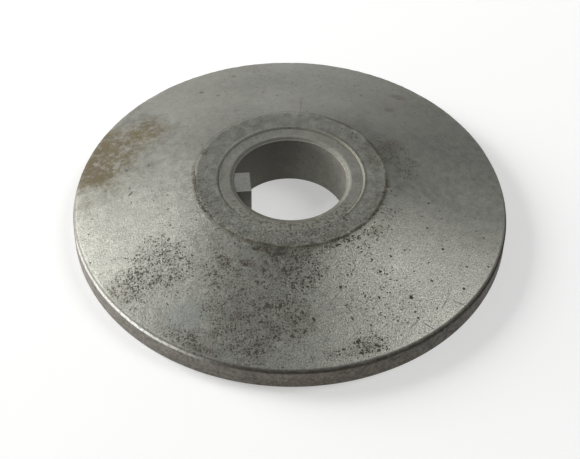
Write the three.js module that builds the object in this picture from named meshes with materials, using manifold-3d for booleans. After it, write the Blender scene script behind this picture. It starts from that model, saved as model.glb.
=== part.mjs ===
// Small-engine flywheel: a solid, cone-faced steel disc on a keyed hub bush.
//
// Millimetres. +Z runs up the shaft axis, from the flat underside to the hub boss.
// The origin is on the axis, in the plane of the underside, and the drive key points
// to the axis from the -X side of the bore.

import * as THREE from 'three';
import { mergeVertices } from 'three/addons/utils/BufferGeometryUtils.js';
import Module from 'manifold-3d';

const wasm = await Module();
wasm.setup();

// ---------------------------------------------------------------- driving dimensions

const TURNED_FACETS = 96; // facets round every turned surface
const FIT_GAP = 0.05; // clearance left between pieces that are pressed together
const EDGE_BREAK = 0.25; // small bevel on edges that are only deburred
const CUT_MARGIN = 1; // how far a cutting shape runs on past the face that it opens

// Disc: outside diameter 98.4, which is 3 7/8 in
const RIM_RADIUS = 49.2;
const RIM_WALL_HEIGHT = 4.3; // upright outer wall
const RIM_BEVEL_RUN = 0.4; // steep bevel over the upright wall
const RIM_BEVEL_RISE = 0.95;
const BOSS_RADIUS = 21.6; // where the cone meets the flat boss
const BOSS_HEIGHT = 13.2; // top of the whole part
const BOSS_RISER = 0.1; // faint step round the boss, at the top of the cone

// Underside: a hub land and a rim land with a shallow turned relief between them
const HUB_LAND_RADIUS = 22;
const RIM_LAND_RADIUS = 38;
const RELIEF_DEPTH = 1.5;
const RELIEF_DRAFT = 1.0; // run of the sloping relief walls

// Hub bush: bored for a 1 in crankshaft
const BORE_RADIUS = 12.7;
const BUSH_RADIUS = 16.2;
const BUSH_HEIGHT = 12.8; // its face lies just under the boss face
const SEAT_BEVEL = 0.4; // bevel round the disc's seat for the bush
const MOUTH_RADIUS = 13.5; // outer edge of the bevelled bore mouth
const MOUTH_LAND_RADIUS = 13.05; // outer edge of the narrow land inside the bevel
const MOUTH_LAND_HEIGHT = 12.35;
const BORE_FOOT_BEVEL = 0.4; // bevel at the lower end of the bore

// Drive key: one square key for the crankshaft's 1/4 in keyway, as long as the bore
const KEY_WIDTH = 6.1;
const KEY_TIP_RADIUS = 8.95;
const KEY_SEAT_RADIUS = 15.1; // how far out the seated half reaches
const KEYSEAT_TOP = 11.4; // the keyseat is closed above this height
const KEY_EDGE = 0.3; // bevel on the two upright edges of the tip

// ---------------------------------------------------------------- materials

function steel(name, color, roughness, metalness) {
  return new THREE.MeshStandardMaterial({ name, color, roughness, metalness });
}

const castSteel = steel('cast_steel', 0x7d7a70, 0.6, 0.75);
const bushSteel = steel('bush_steel', 0x84868a, 0.45, 0.85);
const keySteel = steel('key_steel', 0x96958f, 0.4, 0.85);

// ---------------------------------------------------------------- shape helpers

// Turns a closed section of [radius, height] points, listed anticlockwise, round Z.
function turned(section) {
  const outline = [...section, section[0]].map(([radius, height]) => new THREE.Vector2(radius, height));
  return new THREE.LatheGeometry(outline, TURNED_FACETS).rotateX(Math.PI / 2);
}

// Raises a closed outline of [x, y] points from the height `bottom` to the height `top`.
function raised(outline, bottom, top) {
  const shape = new THREE.Shape(outline.map(([x, y]) => new THREE.Vector2(x, y)));
  const geometry = new THREE.ExtrudeGeometry(shape, { depth: top - bottom, bevelEnabled: false });
  return geometry.translate(0, 0, bottom);
}

// Copies a closed geometry into a solid that can be joined and cut.
function solidOf(geometry) {
  const bare = geometry.clone();
  bare.deleteAttribute('normal');
  bare.deleteAttribute('uv');
  const merged = mergeVertices(bare);
  return new wasm.Manifold(new wasm.Mesh({
    numProp: 3,
    vertProperties: new Float32Array(merged.attributes.position.array),
    triVerts: new Uint32Array(merged.index.array),
  }));
}

// Copies a finished solid back into a geometry.
function geometryOf(solid) {
  const mesh = solid.getMesh();
  const geometry = new THREE.BufferGeometry();
  geometry.setAttribute('position', new THREE.BufferAttribute(mesh.vertProperties, mesh.numProp));
  geometry.setIndex(new THREE.BufferAttribute(mesh.triVerts, 1));
  geometry.computeVertexNormals();
  return geometry;
}

function piece(name, geometry, material) {
  const mesh = new THREE.Mesh(geometry, material);
  mesh.name = name;
  return mesh;
}

// ---------------------------------------------------------------- flywheel disc

// The heavy ring: flat lands and a relief below, an upright rim, a cone of about
// 16 degrees up to the boss, and a bevelled seat for the bush.
function flywheelDisc() {
  const seatRadius = BUSH_RADIUS + FIT_GAP;
  return turned([
    [seatRadius, 0],
    [HUB_LAND_RADIUS, 0],
    [HUB_LAND_RADIUS + RELIEF_DRAFT, RELIEF_DEPTH],
    [RIM_LAND_RADIUS - RELIEF_DRAFT, RELIEF_DEPTH],
    [RIM_LAND_RADIUS, 0],
    [RIM_RADIUS - EDGE_BREAK, 0],
    [RIM_RADIUS, EDGE_BREAK],
    [RIM_RADIUS, RIM_WALL_HEIGHT],
    [RIM_RADIUS - RIM_BEVEL_RUN, RIM_WALL_HEIGHT + RIM_BEVEL_RISE],
    [BOSS_RADIUS, BOSS_HEIGHT - BOSS_RISER],
    [BOSS_RADIUS - EDGE_BREAK, BOSS_HEIGHT],
    [seatRadius + SEAT_BEVEL, BOSS_HEIGHT],
    [seatRadius, BOSS_HEIGHT - SEAT_BEVEL],
  ]);
}

// ---------------------------------------------------------------- hub bush

// A plain sleeve with a bevelled mouth. Its keyseat is open at the underside and
// closed at the top, so the mouth's bevel runs round unbroken above the key.
function hubBush() {
  const sleeve = turned([
    [BORE_RADIUS + BORE_FOOT_BEVEL, 0],
    [BUSH_RADIUS - EDGE_BREAK, 0],
    [BUSH_RADIUS, EDGE_BREAK],
    [BUSH_RADIUS, BUSH_HEIGHT - EDGE_BREAK],
    [BUSH_RADIUS - EDGE_BREAK, BUSH_HEIGHT],
    [MOUTH_RADIUS, BUSH_HEIGHT],
    [MOUTH_LAND_RADIUS, MOUTH_LAND_HEIGHT],
    [BORE_RADIUS, MOUTH_LAND_HEIGHT],
    [BORE_RADIUS, BORE_FOOT_BEVEL],
  ]);
  const halfWidth = KEY_WIDTH / 2 + FIT_GAP;
  const outer = -(KEY_SEAT_RADIUS + FIT_GAP);
  const keyseat = raised(
    [[outer, -halfWidth], [0, -halfWidth], [0, halfWidth], [outer, halfWidth]],
    -CUT_MARGIN,
    KEYSEAT_TOP,
  );
  return geometryOf(solidOf(sleeve).subtract(solidOf(keyseat)));
}

// ---------------------------------------------------------------- drive key

// A square key pushed up into the keyseat from below. Its working half stands out into
// the bore up to the narrow land; its seated half stops under the keyseat's closed end.
function driveKey() {
  const half = KEY_WIDTH / 2;
  const tip = -KEY_TIP_RADIUS;
  const blank = raised(
    [
      [-KEY_SEAT_RADIUS, -half],
      [tip - KEY_EDGE, -half],
      [tip, KEY_EDGE - half],
      [tip, half - KEY_EDGE],
      [tip - KEY_EDGE, half],
      [-KEY_SEAT_RADIUS, half],
    ],
    0,
    MOUTH_LAND_HEIGHT,
  );
  const wallAboveKeyseat = turned([
    [BORE_RADIUS - FIT_GAP, KEYSEAT_TOP - FIT_GAP],
    [BUSH_RADIUS, KEYSEAT_TOP - FIT_GAP],
    [BUSH_RADIUS, BUSH_HEIGHT],
    [BORE_RADIUS - FIT_GAP, BUSH_HEIGHT],
  ]);
  return geometryOf(solidOf(blank).subtract(solidOf(wallAboveKeyseat)));
}

// ---------------------------------------------------------------- assembly

const flywheel = new THREE.Group();
flywheel.name = 'flywheel';
flywheel.add(piece('flywheel_disc', flywheelDisc(), castSteel));
flywheel.add(piece('hub_bush', hubBush(), bushSteel));
flywheel.add(piece('drive_key', driveKey(), keySteel));

export default flywheel;
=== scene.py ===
# %% [markdown]
# # A small-engine flywheel
# This lesson finishes a flywheel that was designed elsewhere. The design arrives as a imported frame:
# three plain solids (disc, bush and key) at their real size, in metres, with +Z up along the shaft.
# Here each solid gets a carefully made mesh and a steel finish, and nothing moves or grows.

# %% Load the frame
import math

import bmesh
import bpy
from mathutils import Matrix, Vector


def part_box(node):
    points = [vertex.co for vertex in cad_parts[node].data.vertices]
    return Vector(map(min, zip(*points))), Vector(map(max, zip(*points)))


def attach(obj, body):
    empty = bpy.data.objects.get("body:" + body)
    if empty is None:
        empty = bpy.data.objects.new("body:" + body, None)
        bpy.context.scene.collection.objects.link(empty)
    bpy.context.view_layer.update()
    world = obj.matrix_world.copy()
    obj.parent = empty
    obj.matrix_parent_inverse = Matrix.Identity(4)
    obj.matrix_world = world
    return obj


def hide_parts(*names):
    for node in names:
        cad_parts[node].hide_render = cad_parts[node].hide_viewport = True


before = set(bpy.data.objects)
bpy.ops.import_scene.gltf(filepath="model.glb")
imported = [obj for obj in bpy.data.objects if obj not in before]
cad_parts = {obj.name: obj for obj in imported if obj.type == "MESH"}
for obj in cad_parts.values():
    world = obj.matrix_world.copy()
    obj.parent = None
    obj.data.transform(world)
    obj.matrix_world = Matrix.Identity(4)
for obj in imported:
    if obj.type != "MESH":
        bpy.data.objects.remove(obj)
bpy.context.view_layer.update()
MM = 0.001

# %% [markdown]
# ## Where things are
# Every main size below comes from the frame's boxes, so the finished pieces fall exactly on the
# design. Only what a box can't tell, such as the bore or a bevel's width, is given here.

# %% Sizes from the frame
disc_low, disc_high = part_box("flywheel_disc")
_, bush_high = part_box("hub_bush")
key_low, key_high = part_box("drive_key")

RIM_RADIUS = disc_high.x
BOSS_TOP = disc_high.z
BUSH_RADIUS = bush_high.x
BUSH_TOP = bush_high.z
KEY_TOP = key_high.z
KEY_HALF_WIDTH = key_high.y
BORE_RADIUS = 12.7 * MM
print("rim radius", round(RIM_RADIUS / MM, 2), "boss top", round(BOSS_TOP / MM, 2), "mm")

# %% [markdown]
# ## The camera
# A long lens from about 35 cm away, looking down at 45 degrees, shows the cone, the hub and a little
# of the rim. The camera is made first, because every later choice is judged through it. It leans
# slightly, as a camera held in the hand does.

# %% Camera
VIEW_AZIMUTH = math.radians(-6.2)
VIEW_ELEVATION = math.radians(45.4)
VIEW_DISTANCE = 347.4 * MM
VIEW_LEAN = math.radians(1.1)
VIEW_DROP = math.radians(-0.94)
LENS = 94.5
AIM_HEIGHT = 4.26 * MM

bpy.ops.object.select_all(action="DESELECT")
bpy.ops.object.camera_add()
camera = bpy.context.object
camera.data.lens = LENS
camera.data.sensor_width = 36
camera.data.clip_start = 0.01
turn = Matrix.Rotation(VIEW_AZIMUTH, 4, "Z") @ Matrix.Rotation(math.pi / 2 - VIEW_ELEVATION, 4, "X")
stand_off = turn @ Matrix.Translation((0, 0, VIEW_DISTANCE))
tilt = Matrix.Rotation(VIEW_LEAN, 4, "Z") @ Matrix.Rotation(VIEW_DROP, 4, "X")
camera.matrix_world = Matrix.Translation((0, 0, AIM_HEIGHT)) @ stand_off @ tilt
bpy.context.scene.camera = camera
print("camera at", [round(v, 3) for v in camera.matrix_world.translation])

# %% [markdown]
# ## Light and floor
# Bare steel shows what is around it more than its own colour, so the lamps are placed where the cone
# mirrors them: a tall window low on the left gives the broad bright side, a lamp high on the right
# gives the second, softer lobe, and a long dim card behind lifts the far side. The room itself stays
# dark, because a bright room would wash the cone's shading out.

# %% Lamp helper
def soft_lamp(name, azimuth, elevation, width, height, power, distance=1.0):
    """A soft box that faces the hub. Azimuth is counted from +X, as on the flywheel itself."""
    bpy.ops.object.select_all(action="DESELECT")
    bpy.ops.object.light_add(type="AREA")
    lamp = bpy.context.object
    lamp.name = name
    lamp.data.shape = "RECTANGLE"
    lamp.data.size = width
    lamp.data.size_y = height
    lamp.data.energy = power
    a, e = math.radians(azimuth), math.radians(elevation)
    lamp.location = Vector((math.cos(a) * math.cos(e), math.sin(a) * math.cos(e), math.sin(e))) * distance
    lamp.rotation_euler = (-lamp.location).to_track_quat("-Z", "Y").to_euler()
    return lamp

# %% Lamps, room and floor
soft_lamp("window", azimuth=150, elevation=18, width=0.45, height=0.75, power=17)
soft_lamp("side_window", azimuth=-175, elevation=5, width=0.7, height=0.16, power=2.4)
soft_lamp("right_lamp", azimuth=5, elevation=53, width=0.42, height=0.48, power=3.1)
soft_lamp("back_card", azimuth=95, elevation=12, width=0.8, height=0.25, power=0.5)

room = bpy.data.worlds.new("room")
bpy.context.scene.world = room
room.use_nodes = True
room.node_tree.nodes["Background"].inputs["Color"].default_value = (0.95, 0.97, 1.0, 1)
room.node_tree.nodes["Background"].inputs["Strength"].default_value = 0.14
bpy.context.scene.view_settings.view_transform = "Standard"

bpy.ops.object.select_all(action="DESELECT")
bpy.ops.mesh.primitive_plane_add(size=6, location=(0, 0, disc_low.z))
floor = bpy.context.object
floor.name = "floor"
floor_paint = bpy.data.materials.new("floor_paint")
floor_paint.use_nodes = True
floor_shader = floor_paint.node_tree.nodes["Principled BSDF"]
floor_shader.inputs["Base Color"].default_value = (0.66, 0.66, 0.655, 1)
floor_shader.inputs["Roughness"].default_value = 0.9
floor_shader.inputs["Emission Color"].default_value = (1, 1, 0.99, 1)
floor_shader.inputs["Emission Strength"].default_value = 0.4
floor.data.materials.append(floor_paint)

# %% [markdown]
# ## Turning a piece, ring by ring
# A lathe cuts a round piece by following its outline. In Blender the same thing is done with one
# circle: extrude its edge, resize the new ring to the next radius, lift it to the next height, and
# go on until the outline is closed by a bridge back to the first ring. Spinning a drawn outline
# would give the same shape, but then rounding one corner would mean drawing it again.

# %% Turning helpers
def start_turning(name, radius, height, sides):
    """Makes the first ring of an outline and leaves it selected in edit mode."""
    bpy.ops.object.select_all(action="DESELECT")
    bpy.ops.mesh.primitive_circle_add(vertices=sides, radius=radius, location=(0, 0, height))
    piece = bpy.context.object
    piece.name = piece.data.name = name
    bpy.ops.object.transform_apply()
    bpy.ops.object.mode_set(mode="EDIT")
    bpy.ops.mesh.select_mode(type="EDGE")
    bpy.ops.mesh.select_all(action="SELECT")
    return piece


def turn_outline(name, outline, sides):
    """Turns a closed outline of (radius, height) corners and leaves the piece in edit mode."""
    radius, height = outline[0]
    piece = start_turning(name, radius, height, sides)
    for next_radius, next_height in outline[1:]:
        bpy.ops.mesh.extrude_edges_move()
        grow = next_radius / radius
        bpy.ops.transform.resize(value=(grow, grow, 1), center_override=(0, 0, height))
        bpy.ops.transform.translate(value=(0, 0, next_height - height))
        radius, height = next_radius, next_height
    bpy.ops.mesh.select_all(action="DESELECT")
    bpy.ops.mesh.select_non_manifold()
    bpy.ops.mesh.bridge_edge_loops()
    bpy.ops.mesh.select_all(action="SELECT")
    bpy.ops.mesh.normals_make_consistent(inside=False)
    return piece


def select_edges(piece, wanted):
    """Selects just the edges for which wanted(first corner, second corner) is true."""
    bpy.ops.mesh.select_all(action="DESELECT")
    shape = bmesh.from_edit_mesh(piece.data)
    for edge in shape.edges:
        if wanted(edge.verts[0].co, edge.verts[1].co):
            edge.select_set(True)
    bmesh.update_edit_mesh(piece.data)


def on_ring(point, ring):
    """True for a corner that lies on the ring (radius, height)."""
    slack = 0.004 * MM
    return abs(math.hypot(point.x, point.y) - ring[0]) < slack and abs(point.z - ring[1]) < slack


def round_ring(piece, ring, width):
    """Rounds the edge that runs round the piece at the ring (radius, height)."""
    select_edges(piece, lambda a, b: on_ring(a, ring) and on_ring(b, ring))
    bpy.ops.mesh.bevel(offset=width, offset_type="OFFSET", segments=3, affect="EDGES")


def divide_walls(piece, longest):
    """Cuts every edge that runs along the outline into steps no longer than `longest`."""
    def cuts_for(a, b):
        run = math.hypot(math.hypot(a.x, a.y) - math.hypot(b.x, b.y), a.z - b.z)
        return math.ceil(run / longest) - 1

    edges = bmesh.from_edit_mesh(piece.data).edges
    counts = {cuts_for(edge.verts[0].co, edge.verts[1].co) for edge in edges}
    for cuts in sorted(count for count in counts if count > 0):
        select_edges(piece, lambda a, b: cuts_for(a, b) == cuts)
        bpy.ops.mesh.subdivide(number_cuts=cuts)


SHARP_TURN = math.radians(40)


def finish_mesh(piece):
    """Back to object mode, smooth faces, hard edges only where the turn is sharp."""
    bpy.ops.mesh.select_all(action="SELECT")
    bpy.ops.mesh.normals_make_consistent(inside=False)
    bpy.ops.mesh.select_all(action="DESELECT")
    bpy.ops.object.mode_set(mode="OBJECT")
    bpy.ops.object.shade_smooth_by_angle(angle=SHARP_TURN)
    triangles = sum(len(face.vertices) - 2 for face in piece.data.polygons)
    print(piece.name, "has", triangles, "triangles")

# %% [markdown]
# ## The disc
# The disc is one solid steel casting, faced on its lands and left as it came elsewhere. Its outline
# starts at the bush's seat, runs out along the underside with its shallow relief, up the rim,
# over a steep bevel, up the cone and in over the flat boss.

# %% Disc outline
SEAT_RADIUS = BUSH_RADIUS + 0.02 * MM
HUB_LAND = 22 * MM
RIM_LAND = 38 * MM
RELIEF_DEPTH = 1.5 * MM
RELIEF_DRAFT = 1.0 * MM
RIM_WALL_TOP = 4.3 * MM
BEVEL_TOP = (RIM_RADIUS - 0.4 * MM, 5.25 * MM)
BOSS_RISER = 0.1 * MM
CONE_TOP = (21.6 * MM, BOSS_TOP - BOSS_RISER)
BOSS_EDGE = (CONE_TOP[0] - 0.35 * MM, BOSS_TOP)
SEAT_BEVEL = 0.4 * MM

disc_outline = [
    (SEAT_RADIUS, 0),
    (HUB_LAND, 0),
    (HUB_LAND + RELIEF_DRAFT, RELIEF_DEPTH),
    (RIM_LAND - RELIEF_DRAFT, RELIEF_DEPTH),
    (RIM_LAND, 0),
    (RIM_RADIUS, 0),
    (RIM_RADIUS, RIM_WALL_TOP),
    BEVEL_TOP,
    CONE_TOP,
    BOSS_EDGE,
    (SEAT_RADIUS + SEAT_BEVEL, BOSS_TOP),
    (SEAT_RADIUS, BOSS_TOP - SEAT_BEVEL),
]
disc = turn_outline("disc", disc_outline, sides=432)
round_ring(disc, (RIM_RADIUS, 0), 0.3 * MM)
round_ring(disc, (RIM_RADIUS, RIM_WALL_TOP), 0.2 * MM)
round_ring(disc, BEVEL_TOP, 0.12 * MM)
round_ring(disc, BOSS_EDGE, 0.15 * MM)
round_ring(disc, CONE_TOP, 0.15 * MM)
round_ring(disc, (SEAT_RADIUS + SEAT_BEVEL, BOSS_TOP), 0.2 * MM)
for corner in disc_outline[1:5]:
    round_ring(disc, corner, 0.5 * MM)
divide_walls(disc, 0.62 * MM)

# %% [markdown]
# ## Nothing cast is perfectly true
# The skin of a casting rolls by a few hundredths of a millimetre, and the rim's edge has been knocked
# about. A lattice or a sculpting brush could do it, but a Displace modifier with a cloud texture,
# held back by a vertex group, leaves the faced boss and the bush's seat exactly as they were turned.
# Last, Weighted Normal lets the wide faces decide the shading, or the small roundings would bend the
# light on the flats beside them.

# %% Cast skin
def gather(piece, name, wanted):
    """Puts the corners for which wanted(corner) is true into a vertex group."""
    bpy.ops.mesh.select_mode(type="VERT")
    bpy.ops.mesh.select_all(action="DESELECT")
    shape = bmesh.from_edit_mesh(piece.data)
    for corner in shape.verts:
        corner.select_set(wanted(corner.co))
    shape.select_flush_mode()
    bmesh.update_edit_mesh(piece.data)
    bpy.ops.object.vertex_group_add()
    piece.vertex_groups.active.name = name
    bpy.ops.object.vertex_group_assign()


def roll_surface(piece, group, lump, height, contrast=1.0):
    """Lets the corners of a group roll in and out, in lumps about `lump` metres across."""
    cloud = bpy.data.textures.new(group + "_cloud", "CLOUDS")
    cloud.noise_scale = lump
    cloud.noise_depth = 2
    cloud.contrast = contrast
    bpy.ops.object.modifier_add(type="DISPLACE")
    roll = piece.modifiers[-1]
    roll.name = group + "_roll"
    roll.texture = cloud
    roll.texture_coords = "LOCAL"
    roll.vertex_group = group
    roll.mid_level = 0.5
    roll.strength = height
    bpy.ops.object.modifier_apply(modifier=roll.name)


def keep_flats(piece):
    """Lets the wide faces rule the shading, so that a flat stays flat right up to its rounded edge."""
    bpy.ops.object.modifier_add(type="WEIGHTED_NORMAL")
    weighting = piece.modifiers[-1]
    weighting.keep_sharp = True
    bpy.ops.object.modifier_apply(modifier=weighting.name)


def reach(corner):
    """How far a corner lies from the shaft's axis."""
    return math.hypot(corner.x, corner.y)


CONE_INNER = CONE_TOP[0] + 0.8 * MM
CONE_OUTER = BEVEL_TOP[0] - 0.5 * MM
gather(disc, "cone", lambda c: CONE_INNER < reach(c) < CONE_OUTER and c.z > 5 * MM)
gather(disc, "rim", lambda c: reach(c) > BEVEL_TOP[0] - 0.2 * MM and c.z > 0.5 * MM)
gather(disc, "rim_edge", lambda c: reach(c) > BEVEL_TOP[0] - 0.3 * MM and c.z > RIM_WALL_TOP + 0.1 * MM)
finish_mesh(disc)
roll_surface(disc, "cone", 7 * MM, 0.045 * MM)
roll_surface(disc, "rim", 3.5 * MM, 0.06 * MM)
roll_surface(disc, "rim_edge", 1.3 * MM, 0.07 * MM, contrast=2)
keep_flats(disc)

# %% [markdown]
# ## The bush
# A turned sleeve, pressed into the disc: smoother and cleaner, its face just below the boss. Its
# mouth has a bevel and a narrow land. The keyseat, cut next, stops short of the mouth, so the bevel
# runs round unbroken above the key.

# %% Bush
MOUTH_RADIUS = 13.5 * MM
LAND_RADIUS = 13.05 * MM
BORE_TOP = KEY_TOP - 0.04 * MM
FOOT_BEVEL = 0.1 * MM
bush_outline = [
    (BORE_RADIUS + FOOT_BEVEL, 0),
    (BUSH_RADIUS, 0),
    (BUSH_RADIUS, BUSH_TOP),
    (MOUTH_RADIUS, BUSH_TOP),
    (LAND_RADIUS, KEY_TOP),
    (BORE_RADIUS, BORE_TOP),
    (BORE_RADIUS, FOOT_BEVEL),
]
bush = turn_outline("bush", bush_outline, sides=288)
round_ring(bush, (BUSH_RADIUS, 0), 0.2 * MM)
round_ring(bush, (BUSH_RADIUS, BUSH_TOP), 0.12 * MM)
round_ring(bush, (MOUTH_RADIUS, BUSH_TOP), 0.35 * MM)
round_ring(bush, (LAND_RADIUS, KEY_TOP), 0.2 * MM)
round_ring(bush, (BORE_RADIUS, BORE_TOP), 0.08 * MM)
divide_walls(bush, 0.6 * MM)
finish_mesh(bush)

# %% [markdown]
# ## The keyseat
# On the real bush a broach cuts the keyseat in one pass. Here a box is the broach, and a boolean takes
# its shape away. The box is a hair larger than the key, so that key and bush touch without overlap.

# %% A cutter and a cut
def block(name, low, high):
    """A box between two corners, as a cutter or as the blank of a piece."""
    bpy.ops.object.select_all(action="DESELECT")
    bpy.ops.mesh.primitive_cube_add(size=1, location=(Vector(low) + Vector(high)) / 2)
    made = bpy.context.object
    made.name = made.data.name = name
    bpy.ops.transform.resize(value=Vector(high) - Vector(low))
    bpy.ops.object.transform_apply()
    return made


def cut_away(piece, cutter):
    """Cuts the cutter's shape out of the piece and throws the cutter away."""
    bpy.ops.object.select_all(action="DESELECT")
    bpy.context.view_layer.objects.active = piece
    piece.select_set(True)
    bpy.ops.object.modifier_add(type="BOOLEAN")
    cut = piece.modifiers[-1]
    cut.operation = "DIFFERENCE"
    cut.solver = "EXACT"
    cut.object = cutter
    bpy.ops.object.modifier_apply(modifier=cut.name)
    bpy.data.objects.remove(cutter)


# %% Keyseat
KEYSEAT_GAP = 0.03 * MM
KEYSEAT_TOP = 11.4 * MM
keyseat = block(
    "keyseat",
    (key_low.x - KEYSEAT_GAP, -KEY_HALF_WIDTH - KEYSEAT_GAP, -1 * MM),
    (0, KEY_HALF_WIDTH + KEYSEAT_GAP, KEYSEAT_TOP),
)
cut_away(bush, keyseat)
bpy.ops.object.shade_smooth_by_angle(angle=SHARP_TURN)
keep_flats(bush)
print("bush with its keyseat has", len(bush.data.polygons), "faces")

# %% [markdown]
# ## The key
# A square bar of bright key steel, pushed up into the keyseat from below. Its tip stands out into the
# bore up to the land, and a round rebate at its back clears the wall above the keyseat. The rebate
# is cut with a turned ring, so that it follows the bore exactly.

# %% Key
key = block("key", key_low, key_high)
bpy.ops.object.mode_set(mode="EDIT")
bpy.ops.mesh.select_all(action="SELECT")
bpy.ops.mesh.bevel(offset=0.18 * MM, offset_type="OFFSET", segments=3, affect="EDGES")
bpy.ops.object.mode_set(mode="OBJECT")

wall_above = turn_outline("wall_above", [
    (BORE_RADIUS - KEYSEAT_GAP, KEYSEAT_TOP - KEYSEAT_GAP),
    (BUSH_RADIUS, KEYSEAT_TOP - KEYSEAT_GAP),
    (BUSH_RADIUS, BUSH_TOP),
    (BORE_RADIUS - KEYSEAT_GAP, BUSH_TOP),
], sides=288)
bpy.ops.object.mode_set(mode="OBJECT")
cut_away(key, wall_above)
bpy.ops.object.shade_smooth_by_angle(angle=SHARP_TURN)
keep_flats(key)
print("key has", len(key.data.polygons), "faces")

# %% [markdown]
# ## Sums with sockets
# A finish is a sum of masks: here a pit, there a stain, more of both near an edge. Wiring each sum by
# hand hides the idea, so one small class lets a socket take part in ordinary arithmetic.

# %% A socket in an expression
class Surface:
    """A value that changes over the surface. Arithmetic on it adds Math nodes to its finish."""

    def __init__(self, finish, socket):
        self.finish = finish
        self.socket = socket

    def __add__(self, other):
        return self.finish.maths("ADD", self, other)

    def __sub__(self, other):
        return self.finish.maths("SUBTRACT", self, other)

    def __mul__(self, other):
        return self.finish.maths("MULTIPLY", self, other)

    def __truediv__(self, other):
        return self.finish.maths("DIVIDE", self, other)

    def __pow__(self, other):
        return self.finish.maths("POWER", self, other)

    def __rsub__(self, other):
        return self.finish.maths("SUBTRACT", other, self)

    __radd__ = __add__
    __rmul__ = __mul__


# %% A finish under construction
class Finish:
    """One material, with a method for any node and the few values that every finish here needs."""

    def __init__(self, name):
        self.material = bpy.data.materials.new(name)
        self.material.use_nodes = True
        self.tree = self.material.node_tree
        self.shader = self.tree.nodes["Principled BSDF"]
        self.place = self.node("ShaderNodeTexCoord", output="Object")
        self.x, self.y, self.z = (
            self.node("ShaderNodeSeparateXYZ", inputs={0: self.place}, output=axis) for axis in "XYZ"
        )
        self.radius = (self.x * self.x + self.y * self.y) ** 0.5
        seen_from_above = {0: self.place, 1: (1, 1, 0)}
        self.plan = self.node("ShaderNodeVectorMath", {"operation": "MULTIPLY"}, seen_from_above)

    def node(self, kind, settings=None, inputs=None, output=0):
        """Adds a node: its settings first, then the values or links of its sockets."""
        made = self.tree.nodes.new(kind)
        for name, value in (settings or {}).items():
            setattr(made, name, value)
        for key, value in (inputs or {}).items():
            self.put(made.inputs[key], value)
        return Surface(self, made.outputs[output])

    def put(self, socket, value):
        if isinstance(value, Surface):
            self.tree.links.new(value.socket, socket)
        else:
            socket.default_value = value

    def maths(self, operation, *values):
        return self.node("ShaderNodeMath", {"operation": operation}, dict(enumerate(values)))

    def rise(self, value, low, high):
        """0 at low, 1 at high, with soft ends. low may be the larger of the two."""
        return self.node(
            "ShaderNodeMapRange",
            {"interpolation_type": "SMOOTHSTEP"},
            {"Value": value, "From Min": low, "From Max": high},
        )

    def near(self, value, target, far, close):
        """1 where the value is within `close` of the target, fading to 0 at `far` from it."""
        return self.rise(self.maths("ABSOLUTE", value - target), far, close)

    def larger(self, *values):
        found = values[0]
        for value in values[1:]:
            found = self.maths("MAXIMUM", found, value)
        return found

    def colour(self, factor, first, second):
        """The first colour where factor is 0, the second where it is 1."""
        first, second = ((*c, 1) if isinstance(c, tuple) else c for c in (first, second))
        return self.node("ShaderNodeMix", {"data_type": "RGBA"}, {0: factor, 6: first, 7: second}, output=2)

    def brighten(self, colour, amount):
        """The colour times a number that changes over the surface."""
        return self.node("ShaderNodeVectorMath", {"operation": "SCALE"}, {0: colour, "Scale": amount})

    def noise(self, size, detail=2.0, roughness=0.5, shift=0.0, place=None):
        """Cloudy noise round 0.5 whose lumps are about `size` metres across."""
        step = {0: place or self.place, 1: (shift, shift, shift)}
        moved = self.node("ShaderNodeVectorMath", {"operation": "ADD"}, step)
        return self.node(
            "ShaderNodeTexNoise",
            inputs={"Vector": moved, "Scale": 1 / size, "Detail": detail, "Roughness": roughness},
        )

    def patch(self, azimuth, radius, deep, wide, lean=0):
        """Distance from a spot on the disc, counted so that it is 1 at the edge of an oval.

        The spot lies at an azimuth in degrees and a radius in mm. The oval reaches `deep` mm along
        the radius and `wide` mm across it, and lean turns it, in degrees. A round spot needs no
        turned axes, so it gets by with a plain distance, which is less for Cycles to remember."""
        a = math.radians(azimuth)
        centre = (radius * math.cos(a) * MM, radius * math.sin(a) * MM, 0)
        if deep == wide:
            ends = {0: self.plan, 1: centre}
            away = self.node("ShaderNodeVectorMath", {"operation": "DISTANCE"}, ends, output="Value")
            return away / (deep * MM)
        local = self.node(
            "ShaderNodeMapping",
            {"vector_type": "TEXTURE"},
            {
                "Vector": self.place,
                "Location": centre,
                "Rotation": (0, 0, a + math.radians(lean)),
                "Scale": (deep * MM, wide * MM, 1),
            },
        )
        return self.node("ShaderNodeVectorMath", {"operation": "LENGTH"}, {0: local}, output="Value")

    def blotches(self, spots, wobble=0.0, soft=0.6):
        """The strongest of several ovals (azimuth, radius, deep, wide, strength, lean), with ragged
        edges from wobble. Each fades out over its outer share `soft`."""
        found = 0.0
        for azimuth, radius, deep, wide, strength, *lean in spots:
            distance = self.patch(azimuth, radius, deep, wide, *lean) + wobble
            found = self.larger(found, self.rise(distance, 1.0, 1.0 - soft) * strength)
        return found

    def specks(self, cell, size, share, place=None):
        """Single dark specks, one at most in each cell of `cell` metres. `size` is a speck's reach as a
        share of its cell, and `share` is how many cells have one, from 0 to 1."""
        distance, number = (
            self.node(
                "ShaderNodeTexVoronoi",
                {"voronoi_dimensions": "2D"},
                {"Vector": place or self.place, "Scale": 1 / cell},
                output,
            )
            for output in ("Distance", "Color")
        )
        lot, spread = (
            self.node("ShaderNodeSeparateColor", inputs={0: number}, output=band)
            for band in ("Red", "Green")
        )
        chosen = self.rise(share - lot, -0.02, 0.06)
        speck_reach = spread * size * 0.6 + size * 0.4
        return chosen * self.rise(distance / speck_reach, 1.0, 0.55)

    def bump(self, height, depth):
        """A normal from a height between 0 and 1 that stands for `depth` metres."""
        inputs = {"Strength": 1.0, "Distance": depth, "Height": height}
        return self.node("ShaderNodeBump", inputs=inputs, output="Normal")

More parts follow.
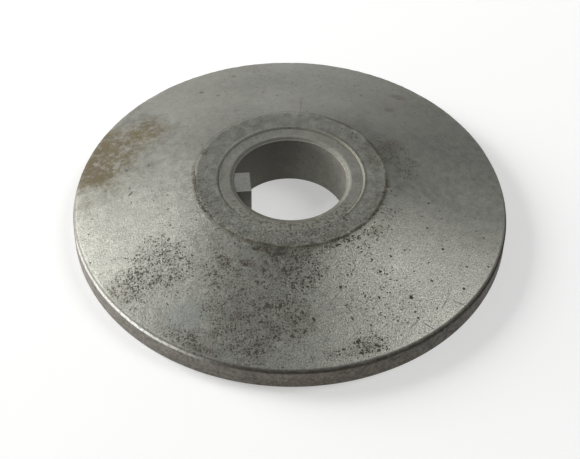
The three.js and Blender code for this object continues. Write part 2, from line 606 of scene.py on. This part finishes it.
    def finish(self, colour, roughness, normal, metallic):
        self.put(self.shader.inputs["Base Color"], colour)
        self.put(self.shader.inputs["Roughness"], roughness)
        self.put(self.shader.inputs["Normal"], normal)
        self.put(self.shader.inputs["Metallic"], metallic)
        print(self.material.name, "uses", len(self.tree.nodes), "nodes")
        return self.material

# %% [markdown]
# ## The disc's steel
# The casting is plain grey steel with a fine sand-like grain. A single noise would look like stone, so
# three are summed: grain for the sand, mottle for the skin, and a wide cloud for handling. The grain
# grows coarser towards the front, and the boss, which was faced, has a tighter one of its own. The tone
# is also painted darker in a ring round the boss, on the far side and a little on the lit left: painted
# shade.

# %% Disc steel: the clean metal
steel = Finish("disc_steel")
CLEAN = (0.35, 0.35, 0.308)
fine = steel.noise(0.36 * MM, detail=2, roughness=0.7)
coarse = steel.rise(steel.x * 0.25 + steel.y * 0.97, 8 * MM, -26 * MM)
grain = (fine - 0.5) * (0.35 + 1.15 * coarse)
mottle = steel.noise(1.7 * MM, detail=4, roughness=0.65, shift=0.3)
cloud = steel.noise(13 * MM, detail=2, shift=0.7)
# Painted shade: the tone is lowered in a ring round the boss, on the far side and a little on the lit left,
# to follow how the light falls there.
near_boss_shade = steel.rise(steel.radius, 32 * MM, 22 * MM)
near_boss_shade = near_boss_shade * steel.rise(steel.radius, BOSS_EDGE[0] - 0.05 * MM, CONE_TOP[0])
boss = steel.rise(steel.radius, CONE_TOP[0] + 0.1 * MM, BOSS_EDGE[0] + 0.05 * MM)
boss = boss * steel.rise(steel.z, BOSS_TOP - 0.4 * MM, BOSS_TOP - 0.2 * MM)
far_side_shade = steel.blotches([(88, 37, 13, 24, 1)], soft=0.9)
lit_left = steel.blotches([(-172, 38, 12, 20, 1)], soft=0.9)
skin = grain * (1.35 - lit_left * 0.35) + (mottle - 0.5) * 0.5 + (cloud - 0.5) * 0.35
boss_skin = boss * ((fine - 0.5) * 0.5 + grain * 0.5 + (mottle - 0.5) * 0.4 + 0.07)
tone = 1.04 + skin + boss_skin - near_boss_shade * 0.17 - far_side_shade * 0.15 - lit_left * 0.08

# %% [markdown]
# ## Pits
# Rust has bitten the face in two crowded fields and lightly elsewhere. A Voronoi pattern gives specks
# that keep apart, as pits do, and the share of its cells that have one rises inside ragged ovals. The
# place is bent by a noise first, so that no speck comes out round. A painted mask could do it too, but
# ovals can be moved one by one. Where the rust is still there, it is brown: those are the freckles.

# %% Disc steel: pits
PIT = (0.038, 0.033, 0.022)
ragged = (steel.noise(5 * MM, detail=4, roughness=0.65, shift=1.1) - 0.5) * 1.8

# azimuth, radius, deep, wide, strength and lean, as in patch()
pitted = steel.blotches([
    (-105, 37, 13, 13, 1.0),
    (-97, 27, 9, 9, 1.0),
    (-122, 30, 7, 7, 0.9),
    (-112, 43, 4.5, 8, 0.8),
    (-146, 38, 10.5, 10.5, 0.8),
    (-66, 35, 13, 13, 0.14),
    (-45, 24, 2.8, 12, 0.3),
    (-76, 46, 2.8, 8, 0.9),
    (-122, 46.5, 3, 8, 0.8),
    (12, 25, 6, 9, 0.45),
    (-95, 18.8, 3.5, 15, 0.9),
    (-62, 17.2, 1.5, 8, 0.9),
    (-30, 20, 3.5, 12, 0.35),
    (178, 21.6, 0.6, 6, 1.3),
    (-160, 21.6, 0.6, 6, 1.3),
    (-172, 20, 1.8, 7, 0.5),
    (-148, 20, 2.5, 6, 0.3),
    (8, 20, 3, 8, 0.4),
    (40, 20, 2, 5, 0.25),
    (-103, 22.4, 1.8, 11, 1.5),
    (-70, 22.3, 1.3, 7, 1.0),
], ragged)
freckled = steel.blotches([
    (-125, 28.3, 1.9, 1.9, 1),
    (-115, 26.6, 1.2, 2.8, 1),
    (-107, 22.7, 1.1, 5.5, 1.1),
    (-122, 21.7, 0.9, 2, 0.8),
    (-112, 38.8, 2.4, 2.4, 1),
    (-104, 43.5, 1.8, 1.8, 1),
    (-147, 46, 3, 4.5, 0.5),
    (-118, 47.3, 1.5, 5, 0.8),
    (154, 21, 1.3, 1.3, 1.0),
], ragged)
drift = steel.node(
    "ShaderNodeTexNoise",
    inputs={"Vector": steel.place, "Scale": 1 / (0.7 * MM), "Detail": 3.0},
    output="Color",
)
bent_place = steel.node(
    "ShaderNodeVectorMath",
    {"operation": "MULTIPLY_ADD"},
    {0: drift, 1: (0.8 * MM, 0.8 * MM, 0.8 * MM), 2: steel.place},
)
bite = steel.noise(0.9 * MM, detail=3, roughness=0.65, shift=2.3)
clump = steel.noise(2.8 * MM, detail=3, roughness=0.6, shift=3.1)
crowd = steel.larger(pitted * (0.4 + 0.6 * steel.rise(clump, 0.35, 0.62)), freckled * 0.8)
fine_pits = steel.specks(0.4 * MM, 0.5, crowd * 0.95 + 0.02, bent_place)
small_pits = steel.specks(0.62 * MM, 0.48, crowd * 0.9 + 0.02, bent_place)
large_pits = steel.specks(1.2 * MM, 0.3, crowd * 0.5, bent_place)
bitten = steel.rise(bite + crowd * 0.15, 0.66, 0.74)
pits = steel.larger(fine_pits * 0.85, small_pits, large_pits, bitten)

# %% [markdown]
# ## Lone marks
# Between the fields are single larger pits, some scattered by a pattern with most of its cells left
# out and some placed one by one, and a few places where brown rust still sits on the metal. The far side
# has only a faint reddish blush here and there.

# %% Disc steel: lone pits and rust
RUST = (0.075, 0.034, 0.022)
BLUSH = (0.2, 0.15, 0.13)
scattered_pits = steel.specks(4.6 * MM, 0.08, 0.5, bent_place) * (0.55 + 0.45 * coarse)
placed_pits = steel.blotches([
    (-55.5, 40.2, 0.55, 0.55, 1),
    (-46, 40, 0.38, 0.38, 1),
    (-33, 37.6, 0.35, 0.35, 1),
    (-15, 31.3, 0.38, 0.38, 0.9),
    (-58.5, 32, 0.38, 0.38, 1),
    (-76, 32, 0.38, 0.38, 1),
    (-88, 38, 0.6, 0.45, 1, 30),
    (-76, 39.3, 0.7, 0.3, 0.9, 20),
    (-41, 46, 0.35, 0.35, 1),
    (163, 33, 0.55, 0.55, 0.7),
    (177.5, 36, 1.0, 0.35, 0.8, 45),
    (165, 38, 0.5, 0.5, 0.8),
    (-53, 17.5, 1.1, 0.45, 0.9),
    (166, 19, 0.5, 0.5, 0.8),
    (178.5, 18.3, 0.45, 0.45, 0.7),
], (bite - 0.5) * 1.6, soft=0.4)
lone_pits = steel.larger(scattered_pits, placed_pits)
freckles = freckled * (0.12 + 0.88 * steel.rise(steel.larger(bite, fine), 0.53, 0.6))
blush = steel.blotches([
    (47, 43, 1.8, 2.6, 0.4, 25),
    (44, 36, 1.5, 1.5, 0.4),
    (22, 27, 3.5, 3, 0.25),
    (25, 20.5, 1.5, 1.5, 0.25),
    (116.5, 40.7, 0.7, 0.7, 0.8),
    (113, 36.5, 0.65, 0.65, 0.6),
    (103, 44, 0.75, 0.75, 0.6),
    (96, 33, 0.6, 0.6, 0.6),
    (84, 37, 0.7, 0.7, 0.5),
    (79, 26, 7, 0.25, 0.45, 2),
], ragged * 0.5)

# %% [markdown]
# ## The stain
# Near the rim an old wet patch has dried brown, with olive islands, over a thin grey fringe. Its
# outline is two ovals pushed in and out by a strong noise, and a finer noise eats holes in it.

# %% Disc steel: stain
RED_BROWN = (0.105, 0.066, 0.03)
OLIVE = (0.11, 0.094, 0.04)
FRINGE = (0.21, 0.195, 0.16)
fray = (steel.noise(7 * MM, detail=8, roughness=0.78, shift=4.2) - 0.5) * 2.6
stain_body = steel.patch(158.5, 45, 11, 13)
stain_arm = steel.patch(145, 39, 6.5, 6)
stain_patch = steel.maths("MINIMUM", stain_body, stain_arm) + fray
blots = steel.noise(2.4 * MM, detail=6, roughness=0.78, shift=5.5)
soaked = steel.rise(steel.radius, 38 * MM, 46 * MM) * 0.09
cover = 0.25 + 0.75 * steel.rise(blots + soaked, 0.36, 0.64)
stained = steel.rise(stain_patch, 1.15, 0.5) * cover
fringe = steel.rise(stain_patch, 1.5, 0.95) * steel.rise(blots, 0.35, 0.6)
stain_hue = steel.colour(steel.rise(blots, 0.4, 0.6), RED_BROWN, OLIVE)
stain_colour = steel.brighten(stain_hue, 0.7 + blots * 0.4 + (fine - 0.5) * 0.5)

# %% [markdown]
# ## Dirt and painted shade round the hub
# Dirt lies in the corner between cone and boss and on the riser. The riser is also darkened everywhere
# but on the far side, to dim the glint of its edge, and the seat's bevel and a ring of the boss just
# outside it are darkened, most on the right: painted shade. Each is a narrow ring in the radius, broken
# up by a patchy noise so that it never reads as a drawn line.

# %% Disc steel: dirt and painted shade round the hub
# Dirt in the corner and on the riser, and painted shade on the riser, the seat's bevel and the boss beside
# it.
DIRT_AND_SHADE = (0.075, 0.07, 0.045)
CORNER = CONE_TOP[0] + 0.2 * MM
SEAT_RIM = SEAT_RADIUS + SEAT_BEVEL
patchy = steel.noise(3.2 * MM, detail=4, roughness=0.65, shift=6.1)
corner = steel.near(steel.radius, CORNER, 0.8 * MM, 0.1 * MM)
corner_front = steel.rise(steel.y, -4 * MM, -18 * MM)
settled = steel.rise(patchy + corner_front * 0.08 + grain * 0.6, 0.48, 0.64)
corner_dirt = corner * settled * (0.45 + corner_front * 0.15)
corner_line = steel.near(steel.radius, CORNER - 0.05 * MM, 0.35 * MM, 0.05 * MM) * 0.3
seat_edge = steel.rise(steel.radius, SEAT_RIM + 0.13 * MM, SEAT_RIM - 0.12 * MM)
seat_edge = seat_edge * steel.rise(steel.z, BOSS_TOP - 0.8 * MM, BOSS_TOP - 0.6 * MM)
# Painted shade: the seat's bevel is darkened, most on the right, where it would glint.
seat_bevel_shade = seat_edge * (0.3 + 0.4 * steel.rise(steel.x, 4 * MM, 12 * MM))
# Dirt and painted shade: the riser is darkened everywhere but on the far side, to dim the glint of its
# edge.
riser = steel.near(steel.radius, BOSS_EDGE[0] + 0.15 * MM, 0.5 * MM, 0.25 * MM)
riser = riser * steel.rise(steel.y - steel.x * 0.6, 22 * MM, 10 * MM)
riser_dirt_and_shade = riser * (0.25 + 0.5 * steel.rise(patchy, 0.4, 0.58))
seat_shade = steel.near(steel.radius, SEAT_RIM + 0.28 * MM, 0.5 * MM, 0.15 * MM)
seat_shade = seat_shade * steel.rise(steel.x, 6 * MM, 12 * MM) * boss

# %% [markdown]
# ## The rim
# The wall is browner than the face. Its colour has a lighter copy on the left and a darker one on the
# right, and its tone falls towards the right, as the light does: painted shade. The bevel above it has
# been rubbed bright on the left, where it was handled, and its colour there is brighter than bare steel
# and kept to the front left, where it catches the side window: partly wear, partly painted highlight.
# Towards the right the bevel is painted dark, where it mirrors the dark room: painted shade. The crest
# is the last line of the cone before the bevel, and the lip is where bevel and wall meet; the crest, and
# the lip on the far right, are darkened to dim their glints: painted shade.

# %% Disc steel: the rim
# The wall's colour as a lit copy for the left and a shaded copy for the right: painted light and shade.
WALL_LIT_LEFT = (0.165, 0.15, 0.128)
WALL_SHADED_RIGHT = (0.13, 0.11, 0.088)
CREST_SHADE = (0.17, 0.16, 0.135)
# Painted shade for the bevel, where it mirrors the dark room, and for the lip, where it would glint.
RIM_SHADE = (0.045, 0.038, 0.03)
# Brighter than bare steel, for the bevel's glint: partly wear, partly painted highlight.
RUBBED_AND_GLINT = (0.85, 0.85, 0.8)
wall = steel.rise(steel.radius, RIM_RADIUS - 0.45 * MM, RIM_RADIUS - 0.2 * MM)
wall = wall * steel.rise(steel.z, BEVEL_TOP[1] + 0.05 * MM, BEVEL_TOP[1] - 0.15 * MM)
bevel = steel.rise(steel.z, RIM_WALL_TOP - 0.1 * MM, RIM_WALL_TOP + 0.2 * MM) * wall
to_right = steel.rise(steel.x, -38 * MM, -14 * MM)
wall_shade_right = steel.rise(steel.x, -26 * MM, 8 * MM)
# Painted shade: the crest is darkened to dim the glint of its rounded edge.
crest = steel.rise(steel.radius, BEVEL_TOP[0] - 0.4 * MM, BEVEL_TOP[0] - 0.1 * MM)
crest = crest * steel.rise(steel.z, BEVEL_TOP[1] - 0.35 * MM, BEVEL_TOP[1] - 0.15 * MM)
# Partly wear, partly painted highlight: the rubbed bevel is bright only on the front left, where it catches
# the side window, and broken into dashes.
wear_and_glint_breaks = 0.55 + 0.45 * steel.rise(bite, 0.42, 0.52)
polished_and_glint = bevel * wear_and_glint_breaks * (1 - to_right) * steel.rise(steel.y, -4 * MM, -13 * MM)
wall_tone_and_shade = 1 + (patchy - 0.5) * 1.2 + (bite - 0.5) * 2.4 + (fine - 0.5) * 1.4
# Painted shade: the wall's tone is lowered towards the right, where it gets less light.
wall_tone_and_shade = wall_tone_and_shade - steel.rise(steel.x, -5 * MM, 42 * MM) * 0.5
# Painted shade: the bevel is darkened towards the right, broken up by a patchy noise.
bevel_shade = bevel * to_right * steel.rise(patchy + grain * 0.5, 0.3, 0.55)
bevel_shade = bevel_shade * (1 - 0.4 * steel.rise(steel.x, 28 * MM, 42 * MM))
# Painted shade: the lip where bevel and wall meet is darkened on the far right, to dim its glint.
wall_lip = steel.near(steel.z, RIM_WALL_TOP, 0.6 * MM, 0.25 * MM)
wall_lip = wall_lip * wall * steel.rise(steel.x, 30 * MM, 45 * MM)

# %% [markdown]
# ## Scratches and smudges
# A scratch is a very long thin oval: dark ones are dirt in a groove, bright ones are bare metal. The
# smudges are olive grease, and one cleaner, cooler patch lies between the two pit fields.

# %% Disc steel: scratches and smudges
SMUDGE = (0.13, 0.12, 0.065)
COOL = (0.36, 0.375, 0.35)
BARE = (0.6, 0.6, 0.56)
dark_lines = steel.blotches([
    (-45.5, 47.4, 2.2, 0.15, 0.6, 22),
    (-49, 45.4, 0.15, 2.6, 0.5, 14),
    (-57, 47.3, 2.2, 0.15, 0.6, 24),
    (-60, 45.3, 0.15, 2.2, 0.5, 10),
    (-76, 37, 1.6, 0.2, 0.5, 20),
], soft=0.8)
cool = steel.blotches([(-127, 42.5, 5, 5, 0.6)], ragged * 0.6)
smudge = steel.blotches([
    (-47, 24.3, 1.6, 3.2, 0.6),
    (-75, 46.3, 1.8, 5, 0.6),
    (-62, 19.5, 1.4, 4, 0.4),
    (-92, 38, 6, 6, 0.35),
    (14, 24, 4, 4, 0.35),
    (153, 20.9, 1.1, 1.9, 1.0),
    (-78, 22.3, 1, 5, 0.6),
    (-95, 23.2, 1.2, 7, 0.5),
    (12, 20, 3.2, 7, 0.4),
    (-100, 21.2, 1.2, 8, 0.6),
    (-35, 20.5, 2.2, 8, 0.35),
    (178, 21.5, 0.6, 7, 0.6),
], ragged)
bright_lines = steel.blotches([
    (-52.3, 18.8, 1.5, 0.12, 0.9, -35),
    (-14.5, 22, 1.4, 0.12, 0.8, 20),
    (-52, 33, 1.6, 0.7, 0.35),
    (-43, 45, 1.2, 1.4, 0.3),
], soft=0.8)

# %% [markdown]
# ## The disc's colour
# The layers go on in the order in which they came to the real disc: stain and handling first, then the
# wall's own colour, dirt, bare scratches, rust, and last the dark pits, which show through all of it.
# The painted shade and the bevel's painted highlight go on with the layers they sit in.

# %% Disc steel: colour of the face
colour = steel.colour(fringe * 0.5, CLEAN, FRINGE)
colour = steel.colour(stained * 0.97, colour, stain_colour)
colour = steel.brighten(colour, tone)
colour = steel.colour(blush, colour, BLUSH)
colour = steel.colour(cool, colour, COOL)
colour = steel.colour(crowd * 0.2, colour, (0.16, 0.15, 0.11))
colour = steel.colour(smudge * (0.2 + 0.6 * steel.rise(bite, 0.46, 0.58)), colour, SMUDGE)

# %% Disc steel: colour of the rim
wall_colour = steel.brighten(steel.colour(wall_shade_right, WALL_LIT_LEFT, WALL_SHADED_RIGHT), wall_tone_and_shade)
colour = steel.colour(wall * 0.9, colour, wall_colour)
colour = steel.colour(crest * 0.5, colour, CREST_SHADE)
colour = steel.colour(wall_lip * 0.8, colour, RIM_SHADE)
colour = steel.colour(bevel_shade * 0.7, colour, RIM_SHADE)
colour = steel.colour(polished_and_glint * (1 - crest) * 0.9, colour, RUBBED_AND_GLINT)

# %% Disc steel: dirt, painted shade, scratches, rust and pits on top
colour = steel.colour(steel.larger(corner_dirt, corner_line), colour, DIRT_AND_SHADE)
colour = steel.colour(steel.larger(seat_bevel_shade, seat_shade * 0.4, riser_dirt_and_shade), colour, DIRT_AND_SHADE)
colour = steel.colour(bright_lines, colour, BARE)
colour = steel.colour(freckles * 0.85, colour, RUST)
dark_marks = steel.larger(pits, lone_pits, dark_lines) * (1 - wall)
colour = steel.colour(dark_marks * 0.95, colour, PIT)

# %% [markdown]
# ## The underside
# The back was faced on a lathe and has stayed clean. A noise that is read along the radius only gives
# the fine rings that the tool left.

# %% Disc steel: underside
UNDER_GREY = (0.29, 0.28, 0.25)
along_radius = steel.node("ShaderNodeCombineXYZ", inputs={"X": steel.radius})
rings = steel.noise(0.3 * MM, detail=1, place=along_radius)
under = steel.rise(steel.z, RELIEF_DEPTH + 0.9 * MM, RELIEF_DEPTH + 0.5 * MM)
under = under * steel.rise(steel.radius, RIM_RADIUS - 0.4 * MM, RIM_RADIUS - 0.7 * MM)
under_tone = 0.8 + (rings - 0.5) * 0.5 + (patchy - 0.5) * 0.5
colour = steel.colour(under, colour, steel.brighten(UNDER_GREY, under_tone))

# %% [markdown]
# ## The disc's shine
# Clean steel mirrors softly. Pits, rust, stain and dirt are dull and hardly metallic, and the rubbed
# bevel, which also carries a painted highlight, is the one bright place. The bump is kept to grain,
# mottle and the small pits: it is worked out three times over, and a longer sum would be more than
# Cycles can hold for one material.

# %% Disc steel: together
rough = 0.44 + (mottle - 0.5) * 0.2 + dark_marks * 0.35 + stained * 0.15 + wall * 0.15
rough = rough + seat_edge * 0.25 + riser * 0.4 + crest * 0.3 + wall_lip * 0.45
rough = rough + bevel * to_right * 0.2 - polished_and_glint * 0.33
metal = 0.85 - dark_marks * 0.75 - stained * 0.5 - freckles * 0.6 - wall * 0.3
metal = metal + polished_and_glint * 0.4 - corner_dirt * 0.4 - riser * 0.2
relief = grain * 0.75 + mottle * 0.35 - small_pits * 0.4
disc.data.materials.append(steel.finish(colour, rough, steel.bump(relief, 0.055 * MM), metal))

# %% [markdown]
# ## Bush and key
# The bush was turned and never painted: a fine even grey. Its bore is painted dark as shade, and lighter
# on the side across from the key, which faces the light: painted shade. The key is the brightest piece.
# Both start from one recipe, and the bush then gets its own layers.

# %% Bush and key steel
def turned_steel(name, tint):
    """Fine-grained steel. Its noises stay on the finish, for the layers that come on top."""
    made = Finish(name)
    made.fine = made.noise(0.5 * MM, detail=3, roughness=0.6, shift=0.4)
    made.soft = made.noise(3 * MM, detail=3, shift=0.9)
    made.speck = made.noise(0.7 * MM, detail=3, roughness=0.6, shift=1.7)
    made.base = made.brighten(tint, 1 + (made.fine - 0.5) * 0.85 + (made.soft - 0.5) * 0.35)
    return made


# %% Bush steel: where painted shade, rust and dirt lie
sleeve = turned_steel("bush_steel", (0.352, 0.352, 0.308))
BORE_SHADE = (0.085, 0.08, 0.066)
BORE_RUST = (0.16, 0.105, 0.08)
BUSH_DIRT = (0.08, 0.07, 0.045)
GROOVE_DIRT_AND_SHADE = (0.07, 0.065, 0.045)
MOUTH_SHADE = (0.1, 0.098, 0.085)
front = sleeve.rise(sleeve.y, -3 * MM, -12 * MM)
specks = sleeve.rise(sleeve.speck + front * 0.15, 0.65, 0.71)
in_bore = sleeve.rise(sleeve.radius, BORE_RADIUS + 0.25 * MM, BORE_RADIUS + 0.05 * MM)
# Painted shade: the bore is painted dark, and lighter on the side across from the key, which faces the
# light.
bore_lit_side = sleeve.rise(sleeve.x + (sleeve.soft - 0.5) * 6 * MM, -3 * MM, 13 * MM)
bore_shade = in_bore * (1 - bore_lit_side * 0.85)
bore_rust = in_bore * bore_lit_side * sleeve.rise(sleeve.soft, 0.42, 0.62)
lip = sleeve.rise(sleeve.radius, MOUTH_RADIUS + 1.1 * MM, MOUTH_RADIUS)
lip = lip * sleeve.rise(sleeve.z, BUSH_TOP - 1 * MM, BUSH_TOP - 0.5 * MM)
lip_dirt = lip * front * sleeve.rise(sleeve.soft, 0.34, 0.52)
# Painted shade: the mouth's bevel is darkened to dim its glint.
mouth = sleeve.near(sleeve.radius, MOUTH_RADIUS - 0.2 * MM, 0.5 * MM, 0.25 * MM)
# Dirt and painted shade: the bush's outer edge is darkened all round, more on the back-left, where the
# groove lies in shade.
outer_edge = sleeve.rise(sleeve.radius, BUSH_RADIUS - 0.45 * MM, BUSH_RADIUS - 0.1 * MM)
groove_shaded_side = sleeve.rise(sleeve.y - sleeve.x, -12 * MM, 6 * MM)
groove_dirt_and_shade = outer_edge * (0.08 + groove_shaded_side * 0.15)

# %% Bush steel: together
bush_colour = sleeve.colour(bore_shade * 0.85, sleeve.base, BORE_SHADE)
bush_colour = sleeve.colour(bore_rust * 0.35, bush_colour, BORE_RUST)
bush_colour = sleeve.colour(sleeve.larger(specks * 0.8, lip_dirt * 0.75), bush_colour, BUSH_DIRT)
bush_colour = sleeve.colour(groove_dirt_and_shade, bush_colour, GROOVE_DIRT_AND_SHADE)
bush_colour = sleeve.colour(mouth * 0.3, bush_colour, MOUTH_SHADE)
bush_rough = 0.52 + bore_shade * 0.15 + mouth * 0.28 + outer_edge * 0.25 + (sleeve.soft - 0.5) * 0.12
bush_metal = 0.85 - bore_shade * 0.4 - specks * 0.5 - lip_dirt * 0.5
bush_normal = sleeve.bump(sleeve.fine * 0.6 - specks * 0.4, 0.04 * MM)
bush.data.materials.append(sleeve.finish(bush_colour, bush_rough, bush_normal, bush_metal))

# %% Key steel
bar = turned_steel("key_steel", (0.38, 0.38, 0.35))
key_rough = 0.5 + (bar.soft - 0.5) * 0.1
key.data.materials.append(bar.finish(bar.base, key_rough, bar.bump(bar.fine * 0.5, 0.03 * MM), 0.85))

# %% [markdown]
# ## Back into the frame
# Each piece takes the place of one solid of the design and rides on the design's only body.

# %% Tie the pieces to the frame
for piece, node, slot in (
    (disc, "flywheel_disc", "cast_steel"),
    (bush, "hub_bush", "bush_steel"),
    (key, "drive_key", "key_steel"),
):
    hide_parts(node)
    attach(piece, "root")
